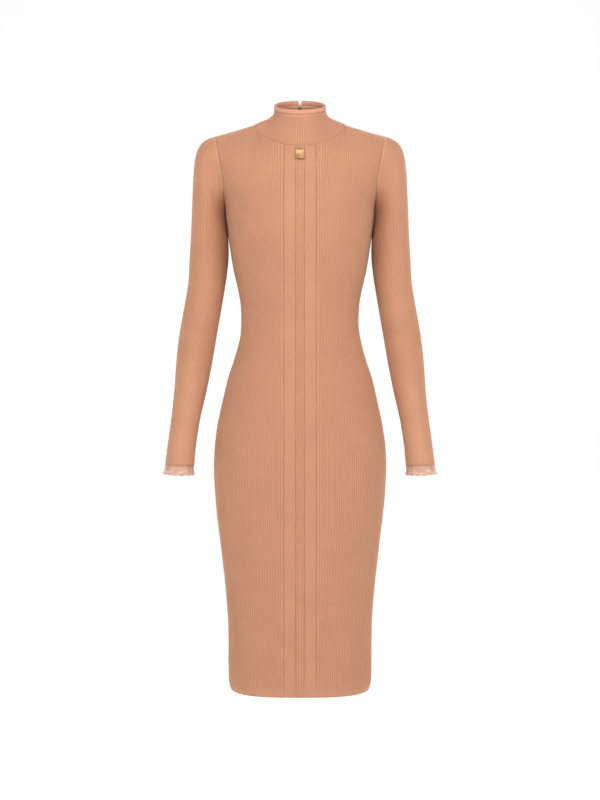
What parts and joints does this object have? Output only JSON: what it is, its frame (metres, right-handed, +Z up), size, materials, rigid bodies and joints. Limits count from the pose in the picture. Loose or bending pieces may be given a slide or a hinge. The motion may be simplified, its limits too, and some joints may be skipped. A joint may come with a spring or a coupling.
{
  "type": "sweater dress",
  "caption": "Long-sleeved rib-knit midi dress with a funnel neck, a herringbone centre panel, a zip down the back and a small charm at the neck.",
  "frame": {"origin": "midway between the shoulders, level with the side points of the neck, where the wearer's shoulders hold the dress", "axes": "+Z up, -Y out of the front, +X towards the wearer's left"},
  "size_m": [0.5206, 0.2353, 1.1275],
  "materials": {
    "knit": "matt rib knit in tan",
    "fine_edge": "slightly shiny fine edging in a lighter pinkish tan",
    "zip_tape": "matt woven tape in tan",
    "gold": "polished gold-coloured metal"
  },
  "bodies": {
    "dress": {"front": "knit", "back_left": "knit", "back_right": "knit", "sleeve_left": "knit", "sleeve_right": "knit", "cuff_edge_left": "fine_edge", "cuff_edge_right": "fine_edge", "collar": "knit", "collar_binding": "knit", "zip_tape_left": "zip_tape", "zip_tape_right": "zip_tape", "zip_chain": "gold", "zip_slider": "gold", "charm_loop": "gold"},
    "pull": {"zip_pull": "gold"},
    "charm": {"charm": "gold"}
  },
  "joints": [
    {"name": "pull_hinge", "type": "hinge", "parent": "dress", "child": "pull", "pos_m": [0, 0.0406, 0.04428], "axis": [1, 0, 0], "range_deg": [0, 110]},
    {"name": "charm_hinge", "type": "hinge", "parent": "dress", "child": "charm", "pos_m": [0, -0.07936, -0.04719], "axis": [-1, 0, 0], "range_deg": [0, 110]}
  ]
}
